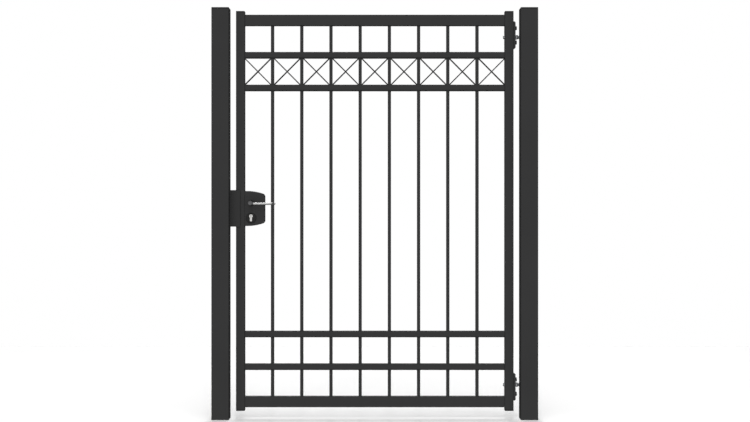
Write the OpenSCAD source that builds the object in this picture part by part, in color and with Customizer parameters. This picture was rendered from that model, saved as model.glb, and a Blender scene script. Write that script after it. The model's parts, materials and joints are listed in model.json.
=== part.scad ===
// Garden gate: two posts, a hinged leaf with vertical bars and a band of
// X crosses, a box lock with lever handles and a keep on the latch post.
// Millimetres. +X towards the hinge post, +Y towards the side the leaf opens
// to, +Z up. The origin is on the ground, midway between the posts, on the
// leaf's middle plane.

/* [Posts] */
// Side of the square post tube
post_w = 80; // [70:1:90]
// Wall of the post tube
post_wall = 3; // [2:0.5:4]
// Height of the posts with their caps
post_h = 1895; // [1890:1:2200]
// Clear width between the posts
clear_w = 1340; // [1340:1:1340]
// How far the posts' front face stands before the leaf's middle plane
post_front = 68; // [66:1:70]

/* [Leaf frame] */
// Height of the leaf with its caps
leaf_h = 1850; // [1850:1:1850]
// Gap under the leaf
leaf_z0 = 34.5; // [30:0.5:40]
// Gap between the leaf and each post
gap = 28; // [28:1:28]
// Side of the square stile tube
stile_w = 40; // [40:1:40]
// Wall of the stile and rail tubes
tube_wall = 2; // [1.5:0.5:2.5]
// Height of the top and bottom rails
rail_h = 50; // [45:1:55]
// Depth of every rail, and height of the four rails between
rail_d = 30; // [28:1:32]
// Distance of the top and bottom rails' middle from the leaf's middle
rail_out = 883.5; // [880:0.5:885]
// Distance of the second rails from the leaf's middle
rail_2 = 722; // [700:1:760]
// Distance of the third rails from the leaf's middle
rail_3 = 570.5; // [540:0.5:600]
// Edge radius of the four rails between
rail_r = 7.5; // [4:0.5:8]
// Thickness of the cap flanges
cap_t = 4.5; // [3:0.5:6]

/* [Infill] */
// Number of vertical bars
bars = 8; // [8:1:8]
// Side of the square bars
bar_w = 15; // [12:1:16]
// Thickness of the flats in the crosses
flat_t = 5; // [3:0.5:6]
// Depth of the flats in the crosses
flat_d = 14; // [10:1:14]

/* [Lock] */
// Length of the lock case from the stile
case_l = 93.5; // [93:0.5:100]
// Half height of the lock case
case_hh = 81; // [78:1:86]
// Depth of the lock case
case_d = 36; // [36:1:38]
// Height of the spindle
spindle_z = 995.5; // [990:0.5:1000]
// Distance between the spindle and the cylinder's plug
lock_pitch = 60; // [60:1:60]
// Length of each lever from the spindle
lever_l = 107; // [100:0.5:130]
// Drop of the lever below the spindle's axis
lever_drop = 2.5; // [0:0.5:3]
// Distance of the lever from the leaf's middle plane
lever_y = 68; // [64:1:70]
// Diameter of the lever at its hub
lever_d = 12; // [11:0.5:13]

/* [Hinges] */
// Distance of the hinge plates' middle from the leaf's middle
plate_out = 815; // [812:1:818]
// Distance of the eye studs from the leaf's middle
stud_out = 805.6; // [805:0.1:806]
// Diameter of the eye stud's thread
stud_d = 16; // [16:1:16]
// Diameter of the hinge pin
pin_d = 9; // [8:0.5:9]

/* [Hidden] */

$fn = 64;

coat = [0.20, 0.20, 0.20];
black = [0.06, 0.06, 0.06];
zinc = [0.72, 0.72, 0.70];
steel = [0.80, 0.80, 0.78];

// posts
post_in = clear_w / 2;                      // inner face of each post
post_x = post_in + post_w / 2;              // middle of each post
post_y = -post_front + post_w / 2;
groove = 1.6;                               // shadow groove under each cap flange
// leaf
leaf_x = post_in - gap;                     // outer face of each stile
stile_x = leaf_x - stile_w / 2;
stile_in = leaf_x - stile_w;                // inner face of each stile
mid_z = leaf_z0 + leaf_h / 2;
leaf_top = leaf_z0 + leaf_h;
tube_z0 = leaf_z0 + cap_t + groove;
tube_z1 = leaf_top - cap_t - groove;
// bars
bays = bars + 1;
pitch = (2 * stile_in + bar_w) / bays;
bay_w = pitch - bar_w;
bar_z0 = mid_z - rail_out + rail_h / 2;
bar_z1 = mid_z + rail_out - rail_h / 2;
band_z0 = mid_z + rail_3 + rail_d / 2;
band_h = rail_2 - rail_3 - rail_d;
// lock
case_z = 971;                               // middle of the lock case
case_r = 218;                               // radius of its top and bottom arcs
case_flat = 12.5;                           // straight length beside the stile
case_c = 16;                                // corner radius
sp_x = -572;                                // spindle and plug axis
plug_z = spindle_z - lock_pitch;
profile_h = 33;                             // height of the profile cylinder
body_z0 = 905;
body_z1 = 1037;
face_x = -leaf_x;                           // outer face of the latch stile
cyl_half = 27;
run = 0.05;                                 // radial running clearance
// hinges
pivot_x = post_in - gap / 2;

// ---- helpers ----
module rrect(w, h, r) {
    if (r <= 0.05) square([w, h], center = true);
    else {
        square([w - 2 * r, h], center = true);
        square([w, h - 2 * r], center = true);
        for (i = [-1, 1], j = [-1, 1]) translate([i * (w / 2 - r), j * (h / 2 - r)]) circle(r);
    }
}
module tube(w, d, t, r, h) {
    linear_extrude(h) difference() {
        rrect(w, d, r);
        rrect(w - 2 * t, d - 2 * t, r - t);
    }
}
// a cylinder along +X from x
module cx(x, y, z, r, l, f = 64) translate([x, y, z]) rotate([0, 90, 0]) cylinder(h = l, r = r, $fn = f);
// a cylinder along +Y from y
module cy(x, y, z, r, l, f = 64) translate([x, y, z]) rotate([-90, 0, 0]) cylinder(h = l, r = r, $fn = f);
// a rail along X, centred on x = 0
module rail(h, r) rotate([0, 90, 0]) translate([0, 0, -stile_in]) tube(h, rail_d, tube_wall, r, 2 * stile_in);
// places a hinge's children for the upper (1) or lower (-1) hinge, z measured from the leaf's middle
module hinge_at(s) translate([0, 0, mid_z]) mirror([0, 0, s < 0 ? 1 : 0]) children();
// an outline drawn in X and Z, extruded from y0 to y1
module xz(y0, y1) translate([0, y1, 0]) rotate([90, 0, 0]) linear_extrude(y1 - y0) children();

// ---- posts ----
module post_tube() {
    translate([0, post_y, 0]) tube(post_w, post_w, post_wall, post_wall, post_h - cap_t - groove);
}
module post_cap() {
    translate([0, post_y, post_h - cap_t]) linear_extrude(cap_t) rrect(post_w, post_w, post_wall);
    translate([0, post_y, post_h - cap_t - groove]) linear_extrude(groove) square(post_w - 3, center = true);
    translate([0, post_y, post_h - cap_t - groove - 22])
        linear_extrude(22) difference() {
            square(post_w - 2 * post_wall - 0.4, center = true);
            square(post_w - 2 * post_wall - 5.4, center = true);
        }
}
module hinge_post() {
    color(coat) difference() {
        translate([post_x, 0, 0]) post_tube();
        for (s = [-1, 1]) cx(post_in - 1, 0, mid_z + s * stud_out, stud_d / 2 + 0.2, post_wall + 2);
    }
}
module latch_post() {
    color(coat) difference() {
        translate([-post_x, 0, 0]) post_tube();
        for (z = keep_screw_z) cx(-post_in - post_wall - 1, keep_screw_y, z, 4.05, post_wall + 2);
    }
}
module hinge_post_cap() { color(black) translate([post_x, 0, 0]) post_cap(); }
module latch_post_cap() { color(black) translate([-post_x, 0, 0]) post_cap(); }

// tapped plates behind the post's wall
module hinge_backing_plates() {
    color(zinc) for (s = [-1, 1]) difference() {
        translate([post_in + post_wall, -22, mid_z + s * stud_out - 20]) cube([8, 30.8, 40]);
        cx(post_in + post_wall - 1, 0, mid_z + s * stud_out, stud_d / 2 + 0.03, 10);
    }
}
module eye_stud() {
    difference() {
        union() {
            translate([pivot_x, 0, stud_out - 3.5]) cylinder(h = 7, r = 8);
            translate([pivot_x, -8, stud_out - 3.5]) cube([9.2, 16, 7]);
            cx(pivot_x + 8.8, 0, stud_out, stud_d / 2, 47.2);
        }
        translate([pivot_x, 0, stud_out - 5]) cylinder(h = 10, r = pin_d / 2 + run);
    }
}
module upper_eye_stud() { color(zinc) hinge_at(1) eye_stud(); }
module lower_eye_stud() { color(zinc) hinge_at(-1) eye_stud(); }

// ---- keep ----
keep_z0 = 887;
keep_z1 = 1056;
keep_screw_z = [902, 1041];
keep_screw_y = -6;
module strike_keep() {
    color(coat) difference() {
        translate([0, 0, keep_z0]) linear_extrude(keep_z1 - keep_z0) {
            translate([-post_in, -26]) square([3, 38]);                 // web on the post
            translate([-post_in, -26]) square([46, 3.7]);               // stop plate
            translate([-post_in + 46, -24.15]) circle(1.85, $fn = 32);  // its rolled edge
            translate([-post_in, 9]) square([19, 3]);                   // rear lip
        }
        for (z = keep_screw_z) cx(-post_in - 1, keep_screw_y, z, 4.3, 5);
    }
}
module keep_buffers() {
    color(black) for (z = [925, 985]) difference() {
        translate([-640, -22.3, z]) cube([16, 2, 30]);
        translate([-640 + 5, -21, z - 1]) cube([6, 2, 32]);
    }
}
module keep_screws() {
    color(zinc) for (z = keep_screw_z) {
        cx(-post_in - 14, keep_screw_y, z, 4, 17);
        difference() {
            cx(-post_in + 3, keep_screw_y, z, 7, 4.4);
            cx(-post_in + 4.6, keep_screw_y, z, 2.9, 4, 6);
        }
    }
}

// ---- leaf frame ----
module stile() translate([0, 0, tube_z0]) tube(stile_w, stile_w, tube_wall, 2, tube_z1 - tube_z0);
module hinge_stile() {
    color(coat) difference() {
        translate([stile_x, 0, 0]) stile();
        for (s = [-1, 1]) {
            cx(stile_in - 1, 0, mid_z + s * stud_out, 6.2, stile_w + 2);
            for (b = [-33.4, 33.4]) cx(leaf_x - tube_wall - 1, 0, mid_z + s * (plate_out + b), 7, tube_wall + 2);
        }
    }
}
module latch_stile() {
    color(coat) difference() {
        translate([-stile_x, 0, 0]) stile();
        translate([face_x - 1, -8.3, body_z0 - 0.3]) cube([stile_w + 2, 16.6, body_z1 - body_z0 + 0.6]);
        for (z = face_screw_z) cx(face_x - 1, 0, z, 2.55, tube_wall + 2);
    }
}
// cap at z = 0, facing up
module stile_cap() {
    translate([0, 0, -cap_t]) linear_extrude(cap_t) rrect(stile_w, stile_w, 2);
    translate([0, 0, -cap_t - groove]) linear_extrude(groove) square(stile_w - 2, center = true);
    translate([0, 0, -cap_t - groove - 14]) linear_extrude(14) difference() {
        square(stile_w - 2 * tube_wall - 0.4, center = true);
        square(stile_w - 2 * tube_wall - 4.4, center = true);
    }
}
module stile_caps() {
    color(black) for (x = [-stile_x, stile_x]) {
        translate([x, 0, leaf_top]) stile_cap();
        translate([x, 0, leaf_z0]) mirror([0, 0, 1]) stile_cap();
    }
}
module outer_rail(s) translate([0, 0, mid_z + s * rail_out]) rail(rail_h, 1.5);
module top_rail() { color(coat) outer_rail(1); }
module bottom_rail() { color(coat) outer_rail(-1); }
function bar_x(i) = (i - (bars + 1) / 2) * pitch;
module punched_rail(z) {
    difference() {
        translate([0, 0, mid_z + z]) rail(rail_d, rail_r);
        for (i = [1:bars]) translate([bar_x(i), 0, mid_z + z]) cube([bar_w + 0.6, bar_w + 0.6, rail_d + 2], center = true);
    }
}
module upper_cross_rail() { color(coat) punched_rail(rail_2); }
module lower_cross_rail() { color(coat) punched_rail(rail_3); }
module upper_base_rail() { color(coat) punched_rail(-rail_3); }
module lower_base_rail() { color(coat) punched_rail(-rail_2); }
module infill_bar(i) {
    color(coat) translate([bar_x(i) - bar_w / 2, -bar_w / 2, bar_z0]) cube([bar_w, bar_w, bar_z1 - bar_z0]);
}

// ---- crosses ----
module cross_flat(s, half) {
    ang = atan2(band_h, bay_w);
    a = flat_t / 2 / sin(ang);
    b = flat_t / 2 / cos(ang);
    w = bay_w / 2;
    h = band_h / 2;
    difference() {
        xz(-flat_d / 2, flat_d / 2)
            polygon([[-s * w, -h], [-s * (w - a), -h], [s * w, h - b], [s * w, h], [s * (w - a), h], [-s * w, -h + b]]);
        // half lap at the crossing
        rotate([0, s * (90 - ang) , 0])
            translate([0, half * flat_d / 2, 0]) rotate([0, -s * 2 * (90 - ang), 0])
                cube([flat_t + 0.1, flat_d, 30], center = true);
    }
}
module crosses(s, half) {
    for (k = [0:bays - 1])
        translate([-stile_in + bay_w / 2 + k * pitch, 0, band_z0 + band_h / 2]) cross_flat(s, half);
}
module cross_flats_rising() { color(coat) crosses(1, 1); }
module cross_flats_falling() { color(coat) crosses(-1, -1); }

// ---- hinges on the leaf ----
plate_y = 13;          // half depth of a hinge plate
win_z = 10;            // half height of the fork's window
module hinge_plate() {
    difference() {
        union() {
            // base, with rounded ends
            translate([leaf_x, -plate_y, plate_out - 57]) cube([4, 2 * plate_y, 114]);
            intersection() {
                translate([leaf_x, -plate_y, plate_out - 63]) cube([10, 2 * plate_y, 126]);
                union() {
                    translate([leaf_x + 3, 0, plate_out - 56]) rotate([90, 0, 0]) cylinder(h = 40, r = 7, center = true);
                    translate([leaf_x + 3, 0, plate_out + 56]) rotate([90, 0, 0]) cylinder(h = 40, r = 7, center = true);
                }
            }
            // thick pads under the bolts
            translate([leaf_x, -plate_y, stud_out + win_z + 1.4]) cube([10, 2 * plate_y, plate_out + 56 - stud_out - win_z - 1.4]);
            translate([leaf_x, -plate_y, plate_out - 56]) cube([10, 2 * plate_y, stud_out - win_z - 1.4 - plate_out + 56]);
            // cheek in front of the fork, on the side that the leaf turns away from
            translate([leaf_x, -plate_y, stud_out - win_z - 3]) cube([10, plate_y - 9.6, 2 * win_z + 6]);
        }
        translate([leaf_x - 1, -9.3, stud_out - win_z]) cube([13, 18.6, 2 * win_z]);
        for (b = [-33.4, 33.4]) cx(leaf_x - 1, 0, plate_out + b, 5.4, 13);
    }
}
module upper_hinge_plate() { color(black) hinge_at(1) hinge_plate(); }
module lower_hinge_plate() { color(black) hinge_at(-1) hinge_plate(); }
module hinge_plate_bolts() {
    color(black) for (s = [-1, 1], b = [-33.4, 33.4]) hinge_at(s) {
        cx(leaf_x + 10, 0, plate_out + b, 9.8, 6.4, 6);
        cx(leaf_x - 19, 0, plate_out + b, 5, 29);
    }
}
module hinge_rivet_nuts() {
    color(zinc) for (s = [-1, 1], b = [-33.4, 33.4]) hinge_at(s) difference() {
        union() {
            cx(leaf_x - 20, 0, plate_out + b, 6.95, 20);
            cx(leaf_x - 7, 0, plate_out + b, 8.5, 7 - tube_wall);
        }
        cx(leaf_x - 21, 0, plate_out + b, 5.03, 22);
    }
}
module hinge_fork() {
    difference() {
        union() {
            translate([leaf_x, -9, stud_out - 9]) cube([5, 18, 18]);
            for (z = [4.5, -8.7]) translate([0, 0, stud_out + z]) {
                translate([leaf_x + 4, -8, 0]) cube([pivot_x - leaf_x - 4, 16, 4.2]);
                translate([pivot_x, 0, 0]) cylinder(h = 4.2, r = 8);
            }
            cx(stile_in - 6, 0, stud_out, 6, stile_w + 7);
        }
        translate([pivot_x, 0, stud_out - 10]) cylinder(h = 20, r = pin_d / 2 + 0.02);
    }
}
module upper_hinge_fork() { color(zinc) hinge_at(1) hinge_fork(); }
module lower_hinge_fork() { color(zinc) hinge_at(-1) hinge_fork(); }
module fork_nuts() {
    color(zinc) for (s = [-1, 1]) hinge_at(s) difference() {
        union() {
            cx(stile_in - 1.6, 0, stud_out, 9, 1.6);
            cx(stile_in - 6.8, 0, stud_out, 8, 5.2);
        }
        cx(stile_in - 6.1, 0, stud_out, 6.03, 8);
    }
}
module hinge_pins() {
    color(zinc) for (s = [-1, 1]) hinge_at(s) translate([pivot_x, 0, stud_out]) {
        translate([0, 0, -8.7]) cylinder(h = 17.4, r = pin_d / 2);
        translate([0, 0, 8.7]) cylinder(h = 1.4, r1 = 6.5, r2 = 5.5);
        translate([0, 0, -10.1]) cylinder(h = 1.4, r1 = 5.5, r2 = 6.5);
    }
}
module hinge_washers() {
    color("white") for (s = [-1, 1], z = [3.8, -4.5]) hinge_at(s)
        translate([pivot_x, 0, stud_out + z]) difference() {
            cylinder(h = 0.7, r = 7.5);
            translate([0, 0, -1]) cylinder(h = 3, r = pin_d / 2 + 0.1);
        }
}

// ---- lock ----
face_screw_z = [895, 1047];
arc_x = -stile_in + case_flat;
corner_x = -stile_in + case_l - case_c;
function corner_z() = case_hh - case_r + sqrt(pow(case_r - case_c, 2) - pow(corner_x - arc_x, 2));
corner_a = atan2(corner_z() - case_hh + case_r, corner_x - arc_x);
// the case's outline, taken in by o, with its left edge at x0
function case_half(o) = concat(
    [for (i = [0:10]) let(a = 90 - (90 - corner_a) * i / 10)
        [arc_x + (case_r - o) * cos(a), case_hh - case_r + (case_r - o) * sin(a)]],
    [for (i = [1:8]) let(a = corner_a * (1 - i / 8))
        [corner_x + (case_c - o) * cos(a), corner_z() + (case_c - o) * sin(a)]]);
function case_pts(o, x0) = concat([[x0, case_hh - o]], case_half(o),
    [for (i = [len(case_half(o)) - 1:-1:0]) [case_half(o)[i][0], -case_half(o)[i][1]]], [[x0, -case_hh + o]]);
// profile cylinder outline about the plug's axis, grown by g
module profile(g) {
    circle(8.5 + g);
    translate([0, 8.5 - profile_h + 5]) circle(5 + g);
    translate([-5 - g, 8.5 - profile_h + 5]) square([10 + 2 * g, profile_h - 13.5]);
}
module lock_case() {
    color(coat) difference() {
        translate([0, 0, case_z]) xz(-case_d / 2, case_d / 2) polygon(case_pts(0, -stile_in));
        translate([0, 0, case_z]) xz(-case_d / 2 + 2, case_d / 2 - 2) polygon(case_pts(2, -stile_in - 1));
        cy(sp_x, -case_d / 2 - 1, spindle_z, 12.55, case_d + 2);
        translate([sp_x, 0, plug_z]) xz(-case_d / 2 - 1, case_d / 2 + 1) profile(0.3);
    }
}
module lock_body() {
    color(zinc) difference() {
        translate([face_x, -8, body_z0]) cube([101, 16, body_z1 - body_z0]);
        difference() {
            translate([face_x - 1, -6.5, body_z0 + 1.5]) cube([100.5, 13, body_z1 - body_z0 - 3]);
            // abutment of the latch spring
            translate([-600, -7, 1022.4]) cube([2, 14, 14]);
        }
        cy(sp_x, -9, spindle_z, 7.06, 18);
        translate([sp_x, 0, plug_z]) xz(-9, 9) profile(0.3);
    }
}
module lock_faceplate() {
    color(steel) difference() {
        translate([face_x - 3, -11, 888]) cube([3, 22, 166]);
        translate([face_x - 4, -6.4, 1003.6]) cube([5, 12.8, 24.8]);
        translate([face_x - 4, -5.4, 946.6]) cube([5, 10.8, 22.8]);
        cx(face_x - 4, 0, 915.6, 2.6, 5);
        for (z = face_screw_z) {
            cx(face_x - 4, 0, z, 2.6, 5);
            translate([face_x - 3.01, 0, z]) rotate([0, 90, 0]) cylinder(h = 2.4, r1 = 4.9, r2 = 2.6);
        }
    }
}
module faceplate_screws() {
    color(zinc) for (z = face_screw_z) {
        cx(face_x - 3, 0, z, 2.5, 14);
        translate([face_x - 3, 0, z]) rotate([0, 90, 0]) cylinder(h = 2.2, r1 = 4.7, r2 = 2.5);
    }
}
module latch_spring() {
    color(steel) translate([-627.6, 0, 1025.2]) rotate([0, 90, 0]) difference() {
        cylinder(h = 27.4, r = 2.8);
        translate([0, 0, -1]) cylinder(h = 30, r = 2);
    }
}
// one bush at the front, facing -Y
module bush() {
    difference() {
        union() {
            cy(sp_x, -case_d / 2 - 1.5, spindle_z, 13.8, 1.5);
            cy(sp_x, -case_d / 2 - 1, spindle_z, 12.5, 3);
        }
        cy(sp_x, -case_d / 2 - 3, spindle_z, 10 + run, 8);
    }
}
module handle_bushes() {
    color(black) { bush(); mirror([0, 1, 0]) bush(); }
}
module cylinder_housing() {
    color(steel) difference() {
        translate([sp_x, 0, plug_z]) xz(-cyl_half, cyl_half) profile(0);
        cy(sp_x, -cyl_half - 1, plug_z, 6.5 + run, 2 * cyl_half + 2);
        // opening round the cam, down to the bridge
        translate([sp_x - 10, -5, plug_z - 15.6]) cube([20, 10, 30]);
        cx(sp_x - 10, 0, 915.6, 2.53, 20);
    }
}
module rosette() {
    difference() {
        union() {
            cy(sp_x, -case_d / 2 - 2.5, 926.5, 24, 2.5);
            translate([sp_x, -case_d / 2 - 2.5, 926.5]) rotate([90, 0, 0]) cylinder(h = 1.5, r1 = 24, r2 = 21.5);
        }
        translate([sp_x, 0, plug_z]) xz(-case_d / 2 - 6, -case_d / 2 + 1) profile(0.25);
    }
}
module cylinder_rosettes() {
    color(black) { rosette(); mirror([0, 1, 0]) rosette(); }
}
module cylinder_screw() {
    color(zinc) {
        cx(face_x - 3, 0, 915.6, 2.5, 80);
        cx(face_x - 4.4, 0, 915.6, 4.4, 1.4);
    }
}

// ---- handle ----
bend_r = 12;
lever_tip = sp_x + lever_l;
lever_z = spindle_z - lever_drop;
module lever() {
    r2 = 5;
    xb = lever_tip - r2 - bend_r;
    cx(sp_x + 4.2, -lever_y, lever_z, 5, 10.8);
    translate([sp_x + 15, -lever_y, lever_z]) rotate([0, 90, 0]) cylinder(h = xb - sp_x - 15, r1 = lever_d / 2, r2 = r2);
    translate([xb, -lever_y + bend_r, lever_z]) rotate([0, 0, -90]) rotate_extrude(angle = 90) translate([bend_r, 0]) circle(r2, $fn = 32);
    cy(lever_tip - r2, -lever_y + bend_r, lever_z, r2, 9);
}
module hub() {
    difference() {
        union() {
            cy(sp_x, -lever_y - 6.8, spindle_z, 10, lever_y + 6.8 - 16.2);
            translate([sp_x, -lever_y - 6.8, spindle_z]) rotate([90, 0, 0]) cylinder(h = 1.2, r1 = 10, r2 = 8.8);
            // collar around the root of the lever
            cx(sp_x, -lever_y, lever_z, lever_d / 2 + 0.6, 15);
        }
        // square socket for the spindle
        translate([sp_x - 4.05, -58.2, spindle_z - 4.05]) cube([8.1, 60, 8.1]);
        // cross hole for the lever
        cx(sp_x + 4.1, -lever_y, lever_z, 5.05, 14);
        // hole for the grub screw
        translate([sp_x, -27, spindle_z - 12]) cylinder(h = 10, r = 2.55);
    }
}
module front_lever() { color(steel) lever(); }
module rear_lever() { color(steel) mirror([0, 1, 0]) lever(); }
module front_hub() { color("dimgray") hub(); }
module rear_hub() { color("dimgray") mirror([0, 1, 0]) hub(); }
module spindle() { color(zinc) translate([sp_x - 4, -58, spindle_z - 4]) cube([8, 116, 8]); }
module follower() {
    color(zinc) difference() {
        union() {
            cy(sp_x, -6.2, spindle_z, 9, 12.4);
            cy(sp_x, -8, spindle_z, 7, 16);
            translate([sp_x - 4, -5, spindle_z]) cube([8, 10, 19]);
        }
        translate([sp_x - 4.05, -9, spindle_z - 4.05]) cube([8.1, 18, 8.1]);
    }
}
module handle_grub_screws() {
    color(zinc) for (y = [-27, 27]) translate([sp_x, y, spindle_z - 9.8]) difference() {
        cylinder(h = 5.7, r = 2.5);
        translate([0, 0, -1]) cylinder(h = 3, r = 1.4, $fn = 6);
    }
}

// ---- bolts and cylinder ----
latch_tip = -657;
module latch_bolt() {
    color(steel) {
        // bevelled head
        translate([0, 0, 1004]) linear_extrude(24)
            polygon([[-628, -6], [-645.5, -6], [latch_tip, 3], [latch_tip, 6], [-628, 6]]);
        // tail and the lug the follower pulls
        translate([-628, -2.5, 1015.5]) cube([66, 5, 6]);
        translate([sp_x + 4.6, -2.5, 1005.5]) cube([5.4, 5, 10]);
    }
}
module cylinder_plugs() {
    color(steel) for (s = [-1, 1]) difference() {
        cy(sp_x, s < 0 ? -cyl_half : 5.2, plug_z, 6.5, cyl_half - 5.2);
        translate([sp_x - 1.1, s < 0 ? -cyl_half - 1 : cyl_half - 9, plug_z - 4.6]) cube([2.2, 10, 9.2]);
    }
}
module cylinder_cam() {
    color(steel) {
        cy(sp_x, -4.8, plug_z, 7.8, 9.6);
        intersection() {
            cy(sp_x, -4.8, plug_z, 15, 9.6);
            translate([sp_x - 3.5, -4.8, plug_z - 16]) cube([7, 9.6, 16]);
        }
    }
}
module dead_bolt() {
    color(steel) difference() {
        translate([face_x - 3, -5, 947]) cube([100, 10, 22]);
        // notch that the cam's tooth drives
        translate([sp_x - 1.5, -6, 946]) cube([21, 12, 5.6]);
    }
}

hinge_post();
latch_post();
hinge_post_cap();
latch_post_cap();
hinge_backing_plates();
upper_eye_stud();
lower_eye_stud();
strike_keep();
keep_buffers();
keep_screws();
hinge_stile();
latch_stile();
stile_caps();
top_rail();
upper_cross_rail();
lower_cross_rail();
upper_base_rail();
lower_base_rail();
bottom_rail();
infill_bar(1);  // infill_bar_1
infill_bar(2);  // infill_bar_2
infill_bar(3);  // infill_bar_3
infill_bar(4);  // infill_bar_4
infill_bar(5);  // infill_bar_5
infill_bar(6);  // infill_bar_6
infill_bar(7);  // infill_bar_7
infill_bar(8);  // infill_bar_8
cross_flats_rising();
cross_flats_falling();
upper_hinge_plate();
lower_hinge_plate();
hinge_plate_bolts();
hinge_rivet_nuts();
upper_hinge_fork();
lower_hinge_fork();
fork_nuts();
hinge_pins();
hinge_washers();
lock_case();
lock_body();
lock_faceplate();
faceplate_screws();
latch_spring();
handle_bushes();
cylinder_housing();
cylinder_rosettes();
cylinder_screw();
front_lever();
rear_lever();
front_hub();
rear_hub();
spindle();
follower();
handle_grub_screws();
latch_bolt();
cylinder_plugs();
cylinder_cam();
dead_bolt();
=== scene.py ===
import json
import math

import bmesh
import bpy
from mathutils import Matrix, Vector


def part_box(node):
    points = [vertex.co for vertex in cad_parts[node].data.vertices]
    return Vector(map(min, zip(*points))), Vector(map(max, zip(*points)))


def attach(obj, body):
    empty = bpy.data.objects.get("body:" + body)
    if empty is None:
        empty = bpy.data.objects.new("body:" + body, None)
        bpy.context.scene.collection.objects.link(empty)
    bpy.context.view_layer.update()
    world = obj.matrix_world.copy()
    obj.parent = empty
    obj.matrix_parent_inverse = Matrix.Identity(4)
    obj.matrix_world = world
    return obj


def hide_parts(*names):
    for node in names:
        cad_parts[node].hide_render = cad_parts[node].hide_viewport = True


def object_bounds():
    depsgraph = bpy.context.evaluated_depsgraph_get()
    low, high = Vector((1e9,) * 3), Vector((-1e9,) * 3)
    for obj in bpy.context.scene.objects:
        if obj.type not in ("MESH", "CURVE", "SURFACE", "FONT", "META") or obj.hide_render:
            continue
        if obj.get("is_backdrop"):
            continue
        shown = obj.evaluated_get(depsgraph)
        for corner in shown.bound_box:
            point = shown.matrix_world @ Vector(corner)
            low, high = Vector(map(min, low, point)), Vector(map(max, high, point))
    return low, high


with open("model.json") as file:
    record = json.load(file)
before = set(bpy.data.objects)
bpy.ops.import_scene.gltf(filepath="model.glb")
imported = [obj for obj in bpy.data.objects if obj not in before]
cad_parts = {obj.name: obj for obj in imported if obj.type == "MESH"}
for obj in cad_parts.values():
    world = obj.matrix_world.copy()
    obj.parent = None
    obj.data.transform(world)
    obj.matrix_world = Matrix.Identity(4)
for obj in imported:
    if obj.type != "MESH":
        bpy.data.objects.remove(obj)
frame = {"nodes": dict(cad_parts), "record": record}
cad_lo, cad_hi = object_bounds()
NODES = frame["nodes"]
RECORD = frame["record"]
BODY = {n: b for b, ns in RECORD["behaviour"]["bodies"].items() for n in ns}
SLOT = {s["node"]: s["material_slot"] for s in RECORD["subparts"]}
MM = 0.001
sc = bpy.context.scene
sc.view_settings.view_transform = "Standard"
sc.view_settings.look = "None"


# ------------------------------------------------------------------ camera
cam_data = bpy.data.cameras.new("camera")
cam = bpy.data.objects.new("camera", cam_data)
sc.collection.objects.link(cam)
sc.camera = cam
cam.location = (0.001, -6.061, 0.9594)
cam.rotation_euler = (math.radians(90), 0, 0)
cam_data.sensor_width = 36
cam_data.lens = 62.71
cam_data.clip_start, cam_data.clip_end = 0.05, 200


# --------------------------------------------------------------- materials
def new_material(name):
    m = bpy.data.materials.new(name)
    m.use_nodes = True
    nt = m.node_tree
    return m, nt, nt.nodes["Principled BSDF"]


def add(nt, kind, **values):
    n = nt.nodes.new(kind)
    for k, v in values.items():
        setattr(n, k, v)
    return n


def noise(nt, coords, scale, detail=2.0, rough=0.5, stretch=None):
    """A noise texture in object space, scale in features per metre. Returns its Fac output."""
    mp = add(nt, "ShaderNodeMapping")
    mp.inputs["Scale"].default_value = stretch or (1, 1, 1)
    nt.links.new(coords.outputs["Object"], mp.inputs["Vector"])
    n = add(nt, "ShaderNodeTexNoise")
    n.inputs["Scale"].default_value = scale
    n.inputs["Detail"].default_value = detail
    n.inputs["Roughness"].default_value = rough
    nt.links.new(mp.outputs["Vector"], n.inputs["Vector"])
    return n.outputs["Fac"]


def ramp(nt, fac, stops):
    r = add(nt, "ShaderNodeValToRGB")
    e = r.color_ramp.elements
    while len(e) < len(stops):
        e.new(0.5)
    for i, (p, c) in enumerate(stops):
        e[i].position = p
        e[i].color = (*c, 1) if len(c) == 3 else c
    nt.links.new(fac, r.inputs["Fac"])
    return r.outputs["Color"]


def span(nt, fac, lo, hi, f0=0.0, f1=1.0):
    m = add(nt, "ShaderNodeMapRange")
    m.inputs["From Min"].default_value = f0
    m.inputs["From Max"].default_value = f1
    m.inputs["To Min"].default_value = lo
    m.inputs["To Max"].default_value = hi
    nt.links.new(fac, m.inputs["Value"])
    return m.outputs["Result"]


def bump(nt, height, strength, distance, normal=None):
    b = add(nt, "ShaderNodeBump")
    b.inputs["Strength"].default_value = strength
    b.inputs["Distance"].default_value = distance
    nt.links.new(height, b.inputs["Height"])
    if normal is not None:
        nt.links.new(normal, b.inputs["Normal"])
    return b.outputs["Normal"]


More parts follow.
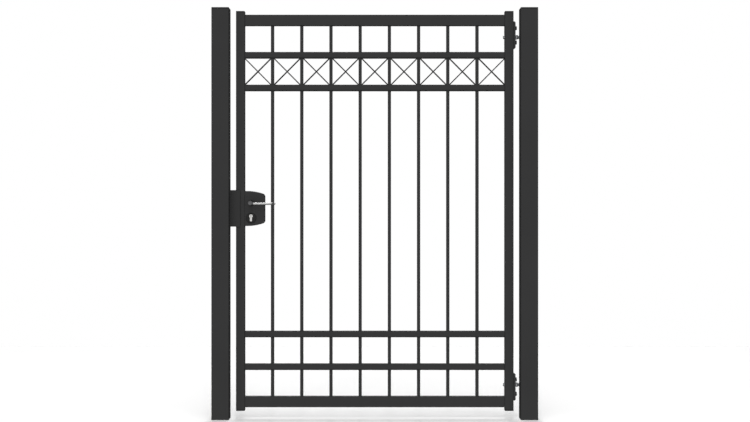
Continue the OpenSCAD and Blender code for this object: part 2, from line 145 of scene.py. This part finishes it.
def coated(name, lo, hi, rough=(0.5, 0.62), grain=1500, grain_depth=0.00002, peel=0.00006, spec=0.35, seed=0.0):
    """Powder coat or moulded plastic: a fine grain over a soft orange peel, with faint variation in colour and gloss."""
    m, nt, p = new_material(name)
    co = add(nt, "ShaderNodeTexCoord")
    big = noise(nt, co, 5 + seed, 3, 0.55)
    mid = noise(nt, co, 60 + seed, 3, 0.6)
    fine = noise(nt, co, grain, 2, 0.55)
    soft = noise(nt, co, grain / 4, 1, 0.5)
    mix = add(nt, "ShaderNodeMix", data_type="FLOAT")
    mix.inputs["Factor"].default_value = 0.4
    nt.links.new(big, mix.inputs[2])
    nt.links.new(mid, mix.inputs[3])
    nt.links.new(ramp(nt, mix.outputs[0], [(0.35, lo), (0.65, hi)]), p.inputs["Base Color"])
    rg = add(nt, "ShaderNodeMix", data_type="FLOAT")
    rg.inputs["Factor"].default_value = 0.5
    nt.links.new(mid, rg.inputs[2])
    nt.links.new(fine, rg.inputs[3])
    nt.links.new(span(nt, rg.outputs[0], rough[0], rough[1], 0.35, 0.65), p.inputs["Roughness"])
    n1 = bump(nt, soft, 0.5, peel)
    nt.links.new(bump(nt, fine, 0.45, grain_depth, n1), p.inputs["Normal"])
    p.inputs["Specular IOR Level"].default_value = spec
    return m


def metal(name, lo, hi, rough=(0.28, 0.4), brush=None, depth=0.00002, spots=0.0, metallic=1.0):
    """A metal with cloudy colour, and fine marks stretched along one axis where it is brushed."""
    m, nt, p = new_material(name)
    co = add(nt, "ShaderNodeTexCoord")
    cloud = noise(nt, co, 90, 4, 0.6)
    nt.links.new(ramp(nt, cloud, [(0.3, lo), (0.7, hi)]), p.inputs["Base Color"])
    p.inputs["Metallic"].default_value = metallic
    marks = noise(nt, co, 1800, 3, 0.6, brush)
    mix = add(nt, "ShaderNodeMix", data_type="FLOAT")
    mix.inputs["Factor"].default_value = 0.6
    nt.links.new(cloud, mix.inputs[2])
    nt.links.new(marks, mix.inputs[3])
    nt.links.new(span(nt, mix.outputs[0], rough[0], rough[1], 0.3, 0.7), p.inputs["Roughness"])
    if depth:
        nt.links.new(bump(nt, marks, 0.3, depth / 4), p.inputs["Normal"])
    return m


MATS = {
    "powder_coat": coated("powder_coat", (0.0308, 0.0308, 0.0312), (0.0338, 0.0338, 0.0342), rough=(0.56, 0.68), spec=0.15),
    "black_plastic": coated("black_plastic", (0.011, 0.011, 0.0112), (0.014, 0.014, 0.0142), rough=(0.5, 0.62), grain=2200, grain_depth=0.00002, peel=0.00002, spec=0.2),
    "black_hinge": coated("black_hinge", (0.018, 0.018, 0.019), (0.023, 0.023, 0.024), rough=(0.42, 0.56), grain=1100, grain_depth=0.00004, peel=0.00008, spec=0.4),
    "zinc": metal("zinc", (0.30, 0.31, 0.325), (0.40, 0.41, 0.42), rough=(0.3, 0.46), depth=0.00003),
    "stainless": metal("stainless", (0.57, 0.57, 0.565), (0.65, 0.65, 0.645), rough=(0.34, 0.44), brush=(0.03, 1, 1), depth=0),
    "hub_metal": metal("hub_metal", (0.095, 0.095, 0.098), (0.125, 0.125, 0.128), rough=(0.36, 0.5), metallic=0.85),
    "nickel": metal("nickel", (0.55, 0.545, 0.53), (0.64, 0.635, 0.62), rough=(0.3, 0.42), brush=(1, 1, 0.05)),
    "rubber": coated("rubber", (0.016, 0.016, 0.016), (0.022, 0.022, 0.021), rough=(0.7, 0.85), grain=900, grain_depth=0.00008, peel=0.0001, spec=0.25),
    "nylon": coated("nylon", (0.66, 0.65, 0.60), (0.74, 0.73, 0.69), rough=(0.4, 0.55), grain=1600, grain_depth=0.00002, peel=0.00003, spec=0.45),
}


# ------------------------------------------------------------ mesh helpers
def finish_mesh(obj, angle=38, weighted=True):
    me = obj.data
    me.polygons.foreach_set("use_smooth", [True] * len(me.polygons))
    me.set_sharp_from_angle(angle=math.radians(angle))
    if weighted:
        w = obj.modifiers.new("weighted", "WEIGHTED_NORMAL")
        w.keep_sharp = True
        w.weight = 80
    me.update()


def put(obj, body, slot, *replaced):
    obj.data.materials.clear()
    obj.data.materials.append(MATS[slot])
    if replaced:
        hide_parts(*replaced)
    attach(obj, body)
    return obj


def from_bm(bm, name):
    me = bpy.data.meshes.new(name)
    bm.to_mesh(me)
    bm.free()
    o = bpy.data.objects.new(name, me)
    sc.collection.objects.link(o)
    return o


def bevel_edges(bm, pick, width, segs, angle=35):
    limit = math.radians(angle)
    edges = [e for e in bm.edges if len(e.link_faces) == 2 and e.calc_face_angle(0) > limit and pick(e)]
    if edges:
        bmesh.ops.bevel(bm, geom=edges, offset=width, offset_type="OFFSET", segments=segs, profile=0.5, affect="EDGES", clamp_overlap=True)


def polish(node, passes, angle=38, name=None):
    """A finished copy of a CAD node: welded, its flat faces joined, and its edges rounded as passes say: (pick, width in mm, segments)."""
    bm = bmesh.new()
    bm.from_mesh(NODES[node].data)
    bmesh.ops.remove_doubles(bm, verts=bm.verts, dist=0.000004)
    bmesh.ops.dissolve_limit(bm, angle_limit=math.radians(0.4), verts=bm.verts, edges=bm.edges, delimit=set())
    for pick, width, segs in passes:
        bevel_edges(bm, pick, width * MM, segs)
    bmesh.ops.recalc_face_normals(bm, faces=bm.faces)
    o = from_bm(bm, name or node + "_finish")
    finish_mesh(o, angle)
    return put(o, BODY[node], SLOT[node], node)


def every(e):
    return True


def near(v, value, tol=0.02):
    return abs(v - value * MM) < tol * MM


def on_plane(axis, *values):
    """Edges that lie in one of these planes, in mm."""
    def pick(e):
        a, b = e.verts[0].co[axis], e.verts[1].co[axis]
        return any(near(a, v) and near(b, v) for v in values)
    return pick


# ------------------------------------------------- posts, leaf tubes, caps
for n in ("hinge_post", "latch_post"):
    polish(n, [(every, 0.35, 2)])
for n in ("hinge_stile", "latch_stile"):
    polish(n, [(every, 0.3, 2)])
for n in ("top_rail", "bottom_rail", "upper_cross_rail", "lower_cross_rail", "upper_base_rail", "lower_base_rail"):
    polish(n, [(every, 0.12, 1)])
for i in range(1, 9):
    polish(f"infill_bar_{i}", [(every, 0.9, 3)])
for n in ("cross_flats_rising", "cross_flats_falling"):
    polish(n, [(every, 0.35, 2)])
post_top = cad_hi[2] / MM
leaf_lo, leaf_hi = (v[2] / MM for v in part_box("stile_caps"))
for n in ("hinge_post_cap", "latch_post_cap"):
    polish(n, [(on_plane(2, post_top), 1.6, 4), (every, 0.25, 1)])
polish("stile_caps", [(on_plane(2, leaf_hi, leaf_lo), 1.4, 4), (every, 0.2, 1)])

# -------------------------------------------------------------- lock parts
case_lo, case_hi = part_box("lock_case")
stile_face = case_lo.x / MM
spin = Vector((-0.572, 0, 0.9955))
plug = Vector((-0.572, 0, 0.9355))


def case_rim(e):
    a, b = e.verts
    if not (abs(abs(a.co.y) - case_hi.y) < 2e-5 and abs(abs(b.co.y) - case_hi.y) < 2e-5):
        return False
    if near(a.co.x, stile_face) and near(b.co.x, stile_face):
        return False
    mid = (a.co + b.co) / 2
    for c, r in ((spin, 0.014), (plug, 0.011), (plug - Vector((0, 0, 0.018)), 0.012)):
        if math.hypot(mid.x - c.x, mid.z - c.z) < r:
            return False
    return True


polish("lock_case", [(case_rim, 4.0, 6)], angle=50)
polish("handle_bushes", [(every, 0.35, 2)])
polish("cylinder_rosettes", [(every, 0.5, 3)])
polish("cylinder_housing", [(on_plane(1, -27, 27), 0.35, 2)])
polish("cylinder_plugs", [(on_plane(1, -27, 27), 0.3, 2)])
for n in ("front_hub", "rear_hub"):
    polish(n, [(on_plane(1, -76, 76, -74.8, 74.8), 0.5, 3), (on_plane(0, -557), 0.4, 3)])
polish("handle_grub_screws", [(every, 0.15, 1)])
polish("lock_faceplate", [(every, 0.3, 2)])
polish("faceplate_screws", [(every, 0.12, 1)])
polish("cylinder_screw", [(every, 0.3, 2)])
polish("latch_bolt", [(every, 0.5, 2)])
polish("dead_bolt", [(every, 0.5, 2)])

# ------------------------------------------------------------- keep, hinge
polish("strike_keep", [(every, 0.5, 2)])
polish("keep_buffers", [(every, 0.3, 2)])
polish("keep_screws", [(every, 0.35, 2)])
for n in ("upper_hinge_plate", "lower_hinge_plate"):
    polish(n, [(every, 1.0, 3)])
for n in ("upper_hinge_fork", "lower_hinge_fork"):
    polish(n, [(every, 0.45, 2)])
polish("hinge_plate_bolts", [(on_plane(0, 658.4), 1.1, 3), (every, 0.3, 1)])
polish("fork_nuts", [(on_plane(0, 595.2), 1.8, 4), (every, 0.25, 1)])
polish("hinge_pins", [(every, 0.5, 3)])
polish("hinge_washers", [(every, 0.12, 1)])


# ------------------------------------------------------------------ levers
def sweep(name, path, radii, n=40):
    """A round bar along a path with a radius at each point, closed at both ends."""
    bm = bmesh.new()
    rings = []
    for i, (p, r) in enumerate(zip(path, radii)):
        a, b = path[max(i - 1, 0)], path[min(i + 1, len(path) - 1)]
        t = (b - a).normalized()
        u = t.cross(Vector((0, 0, 1))).normalized()
        v = u.cross(t).normalized()
        rings.append([bm.verts.new(p + (u * math.cos(k * 2 * math.pi / n) + v * math.sin(k * 2 * math.pi / n)) * r) for k in range(n)])
    for a, b in zip(rings, rings[1:]):
        for k in range(n):
            bm.faces.new((a[k], a[(k + 1) % n], b[(k + 1) % n], b[k]))
    for ring, p in ((rings[0], path[0]), (rings[-1], path[-1])):
        c = bm.verts.new(p)
        for k in range(n):
            bm.faces.new((c, ring[k], ring[(k + 1) % n]))
    bmesh.ops.recalc_face_normals(bm, faces=bm.faces)
    return from_bm(bm, name)


def lever(name, side):
    """A tapered round bar with a return bend, side -1 at the front and 1 at the rear."""
    x0, z, y = -572, 993.0, 68
    tip, r2, br = -465.0, 5.0, 12.0
    xb = tip - r2 - br
    pts, rad = [], []

    def point(x, yy, r):
        pts.append(Vector((x, side * yy, z)) * MM)
        rad.append(r * MM)
    point(x0 + 4.2, y, 5.0)
    point(x0 + 15.0, y, 5.0)
    for a in range(0, 91, 15):          # rounded shoulder
        t = math.radians(a)
        point(x0 + 15.05 + 0.5 * (1 - math.cos(t)), y, 5.5 + 0.49 * math.sin(t))
    steps = 14
    for i in range(1, steps + 1):
        t = i / steps
        point(x0 + 15.6 + (xb - x0 - 15.6) * t, y, 6.0 + (r2 - 6.0) * t)
    for a in range(6, 91, 6):
        t = math.radians(a)
        point(xb + br * math.sin(t), y - br * (1 - math.cos(t)), r2)
    y_end = y - br
    point(tip - r2, y_end - 6.0, r2)
    for a in range(0, 91, 10):          # rounded end
        t = math.radians(a)
        point(tip - r2, y_end - 6.0 - 3.0 * math.sin(t), r2 - 3.0 + 3.0 * math.cos(t))
    o = sweep(name, pts, rad)
    finish_mesh(o, 60, weighted=False)
    return o


put(lever("front_lever_bar", -1), "handle", "stainless", "front_lever")
put(lever("rear_lever_bar", 1), "handle", "stainless", "rear_lever")


# --------------------------------------------------------------- eye studs
def thread(bm, x0, x1, z, r, pitch, n=48, depth=1.05):
    """A threaded rod along X between x0 and x1, all in mm."""
    step = pitch / 8
    rows = int((x1 - x0) / step)
    rings = []
    for i in range(rows + 1):
        x = x0 + i * (x1 - x0) / rows
        ring = []
        for k in range(n):
            a = 2 * math.pi * k / n
            ph = ((x - x0) / pitch - k / n) % 1.0
            tri = 1 - abs(2 * ph - 1)
            rr = r - depth * min(1, max(0, (tri - 0.1) / 0.75))
            ease = min(1, (x - x0) / 1.5, (x1 - x) / 1.5)
            rr = (r - depth) + (rr - r + depth) * max(0.0, ease)
            ring.append(bm.verts.new(Vector((x, rr * math.cos(a), z + rr * math.sin(a))) * MM))
        rings.append(ring)
    for a, b in zip(rings, rings[1:]):
        for k in range(n):
            bm.faces.new((a[k], a[(k + 1) % n], b[(k + 1) % n], b[k]))
    bm.faces.new(rings[0])
    bm.faces.new(list(reversed(rings[-1])))


def eye_stud(node):
    """The forged eye, blended into a threaded rod."""
    lo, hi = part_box(node)
    z = (lo.z + hi.z) / 2 / MM
    px = 656.0
    bm = bmesh.new()
    n = 40
    loops = []
    # outline of the eye and its neck, seen along Z, with the pin's bore
    outer = [(px + 8 * math.cos(a), 8 * math.sin(a)) for a in [math.radians(90 + 180 * i / 20) for i in range(21)]]
    outer += [(px + 3, -8), (px + 7.5, -8), (px + 7.5, 8), (px + 3, 8)]
    bore = [(px + 4.55 * math.cos(2 * math.pi * i / n), 4.55 * math.sin(2 * math.pi * i / n)) for i in range(n)]
    top = [bm.verts.new(Vector((x, y, z + 3.5)) * MM) for x, y in outer]
    bot = [bm.verts.new(Vector((x, y, z - 3.5)) * MM) for x, y in outer]
    btop = [bm.verts.new(Vector((x, y, z + 3.5)) * MM) for x, y in bore]
    bbot = [bm.verts.new(Vector((x, y, z - 3.5)) * MM) for x, y in bore]
    for up, dn in ((top, bot), (btop, bbot)):
        m = len(up)
        for k in range(m):
            bm.faces.new((up[k], up[(k + 1) % m], dn[(k + 1) % m], dn[k]))
    for ring, hole in ((top, btop), (bot, bbot)):
        edges = [bm.edges.get((r[k], r[(k + 1) % len(r)])) for r in (ring, hole) for k in range(len(r))]
        bmesh.ops.triangle_fill(bm, use_beauty=True, edges=edges)
    bmesh.ops.recalc_face_normals(bm, faces=bm.faces)
    bmesh.ops.dissolve_limit(bm, angle_limit=math.radians(0.4), verts=bm.verts, edges=bm.edges, delimit=set())
    bevel_edges(bm, every, 0.5 * MM, 2)
    # shoulder: from the flat neck to the round rod
    rings = []
    m = 48
    for t in (0.0, 0.2, 0.45, 0.7, 0.9, 1.0):
        x = px + 6.9 + 3.4 * t
        ring = []
        for k in range(m):
            a = 2 * math.pi * k / m
            ry, rz = 7.9 - 0.3 * t, 3.4 + (7.6 - 3.4) * math.sin(t * math.pi / 2)
            ex = 0.35 + 0.65 * t
            cy, cz = math.cos(a), math.sin(a)
            ring.append(bm.verts.new(Vector((x, ry * math.copysign(abs(cy) ** ex, cy), z + rz * math.copysign(abs(cz) ** ex, cz))) * MM))
        rings.append(ring)
    for a, b in zip(rings, rings[1:]):
        for k in range(m):
            bm.faces.new((a[k], a[(k + 1) % m], b[(k + 1) % m], b[k]))
    bm.faces.new(rings[0])
    bm.faces.new(list(reversed(rings[-1])))
    thread(bm, px + 9.6, hi.x / MM, z, 8.0, 2.0)
    bmesh.ops.recalc_face_normals(bm, faces=bm.faces)
    o = from_bm(bm, node + "_forged")
    finish_mesh(o, 40, weighted=False)
    return put(o, "posts", "zinc", node)


eye_stud("upper_eye_stud")
eye_stud("lower_eye_stud")


# ------------------------------------------------------------- weld fillets
def bead(bm, p0, p1, n1, n2, r, seed=0):
    """A rippled fillet weld from p0 to p1 in the corner between two faces that run along n1 and n2. All in mm."""
    p0, p1, n1, n2 = (Vector(v) for v in (p0, p1, n1, n2))
    t = p1 - p0
    length = t.length
    t.normalize()
    rows = max(4, int(length / 0.8))
    sink = 0.35
    rings = []
    for i in range(rows + 1):
        s = i / rows
        d = length * s
        wob = 1 + 0.10 * abs(math.sin(math.pi * d / 2.1 + seed)) + 0.05 * math.sin(d * 0.9 + seed * 3)
        end = min(1.0, (min(d, length - d) + 0.15) / 1.2)
        rr = r * wob * math.sqrt(max(0.05, end * (2 - end)))
        c = p0 + t * d - (n1 + n2) * sink
        ring = [c, c + n1 * (rr + sink)]
        for a in (20, 45, 70):
            q = math.radians(a)
            k = 0.80
            ring.append(c + n1 * (sink + rr * k * math.cos(q)) + n2 * (sink + rr * k * math.sin(q)))
        ring.append(c + n2 * (rr + sink))
        rings.append([bm.verts.new(v * MM) for v in ring])
    m = len(rings[0])
    for a, b in zip(rings, rings[1:]):
        for k in range(m):
            bm.faces.new((a[k], a[(k + 1) % m], b[(k + 1) % m], b[k]))
    bm.faces.new(rings[0])
    bm.faces.new(list(reversed(rings[-1])))


X, Y, Z = Vector((1, 0, 0)), Vector((0, 1, 0)), Vector((0, 0, 1))
rails = {}
for n in ("top_rail", "bottom_rail", "upper_cross_rail", "lower_cross_rail", "upper_base_rail", "lower_base_rail"):
    lo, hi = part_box(n)
    rails[n] = tuple(v / MM for v in (lo.x, hi.x, lo.y, hi.y, lo.z, hi.z))
bm = bmesh.new()
seed = 0
for n, (x0, x1, y0, y1, z0, z1) in rails.items():
    edge = 1.6 if n in ("top_rail", "bottom_rail") else 7.6
    for x, nx in ((x0, X), (x1, -X)):
        for y, ny in ((y0, -Y), (y1, Y)):
            seed += 1
            bead(bm, (x, y, z0 + edge), (x, y, z1 - edge), nx, ny, 1.5, seed)
        for z, nz in ((z0, -Z), (z1, Z)):
            seed += 1
            bead(bm, (x, y0 + edge, z), (x, y1 - edge, z), nx, nz, 1.6, seed)
weld = from_bm(bm, "rail_weld_fillets")
finish_mesh(weld, 50, weighted=False)
put(weld, "leaf", "powder_coat")

bm = bmesh.new()
bars = [tuple(v / MM for v in (*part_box(f"infill_bar_{i}")[0], *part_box(f"infill_bar_{i}")[1])) for i in range(1, 9)]
for bx0, by0, bz0, bx1, by1, bz1 in bars:
    joints = [(rails["top_rail"][4], -Z), (rails["bottom_rail"][5], Z)]
    for n in ("upper_cross_rail", "lower_cross_rail", "upper_base_rail", "lower_base_rail"):
        joints += [(rails[n][5], Z), (rails[n][4], -Z)]
    for z, nz in joints:
        seed += 1
        for x, nx in ((bx0, -X), (bx1, X)):
            bead(bm, (x, by0 + 0.6, z), (x, by1 - 0.6, z), nx, nz, 1.15, seed)
        for y, ny in ((by0, -Y), (by1, Y)):
            bead(bm, (bx0 + 0.6, y, z), (bx1 - 0.6, y, z), ny, nz, 1.0, seed + 2)
weld = from_bm(bm, "bar_weld_fillets")
finish_mesh(weld, 50, weighted=False)
put(weld, "leaf", "powder_coat")

# lock case to stile
bm = bmesh.new()
for y, ny in ((-18, -Y), (18, Y)):
    bead(bm, (stile_face, y, case_lo.z / MM + 5), (stile_face, y, case_hi.z / MM - 5), X, ny, 1.7, y)
for z, nz in ((case_lo.z / MM, -Z), (case_hi.z / MM, Z)):
    bead(bm, (stile_face, -13.5, z), (stile_face, 13.5, z), X, nz, 1.8, z)
weld = from_bm(bm, "case_weld_fillets")
finish_mesh(weld, 50, weighted=False)
put(weld, "leaf", "powder_coat")


# ------------------------------------------- hidden pieces keep CAD's shape
for n, o in NODES.items():
    for s in o.material_slots:
        s.material = MATS[SLOT[n]]


# ---------------------------------------------------------- floor and light
bm = bmesh.new()
for x, y in ((-3.4, -3.2), (3.4, -3.2), (3.4, 3.2), (-3.4, 3.2)):
    bm.verts.new((x, y, 0))
bm.faces.new(bm.verts)
floor = from_bm(bm, "floor")
fm, nt, p = new_material("floor")
co = add(nt, "ShaderNodeTexCoord")
nt.links.new(ramp(nt, noise(nt, co, 2, 2), [(0.3, (0.89, 0.89, 0.89)), (0.7, (0.91, 0.91, 0.91))]), p.inputs["Base Color"])
p.inputs["Roughness"].default_value = 0.9
p.inputs["Specular IOR Level"].default_value = 0.0
p.inputs["Emission Color"].default_value = (1, 1, 1, 1)
p.inputs["Emission Strength"].default_value = 0.12
floor.data.materials.append(fm)
floor.visible_diffuse = False      # the floor's bounce is left out, as in a product picture cut out on white
floor.visible_glossy = False
floor.visible_shadow = False
floor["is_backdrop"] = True

world = bpy.data.worlds.new("world")
sc.world = world
world.use_nodes = True
nt = world.node_tree
nt.nodes.clear()
out = nt.nodes.new("ShaderNodeOutputWorld")
mix = nt.nodes.new("ShaderNodeMixShader")
lp = nt.nodes.new("ShaderNodeLightPath")
seen = nt.nodes.new("ShaderNodeBackground")
lit = nt.nodes.new("ShaderNodeBackground")
seen.inputs["Color"].default_value = (1, 1, 1, 1)
seen.inputs["Strength"].default_value = 1.0
lit.inputs["Color"].default_value = (1, 1, 1, 1)
lit.inputs["Strength"].default_value = 0.13
nt.links.new(lp.outputs["Is Camera Ray"], mix.inputs["Fac"])
nt.links.new(lit.outputs[0], mix.inputs[1])
nt.links.new(seen.outputs[0], mix.inputs[2])
nt.links.new(mix.outputs[0], out.inputs["Surface"])


def sky_light(name, azimuth, elevation, power, spread):
    """A very soft, distant light. Azimuth 0 comes from behind the camera."""
    d = bpy.data.lights.new(name, "SUN")
    d.energy = power
    d.angle = math.radians(spread)
    o = bpy.data.objects.new(name, d)
    sc.collection.objects.link(o)
    o.rotation_euler = (math.radians(90 - elevation), 0, math.radians(azimuth))


sky_light("front_key", 0, 9, 2.3, 120)
sky_light("back_fill", 180, 40, 1.5, 30)

# a long strip light overhead, which draws the soft shadows of the bars on the floor
strip_data = bpy.data.lights.new("overhead_strip", "AREA")
strip_data.shape = "RECTANGLE"
strip_data.size, strip_data.size_y = 1.0, 16.0
strip_data.energy = 480
strip = bpy.data.objects.new("overhead_strip", strip_data)
sc.collection.objects.link(strip)
strip.location = (0, -0.5, 10)
strip.visible_glossy = False

lo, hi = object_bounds()
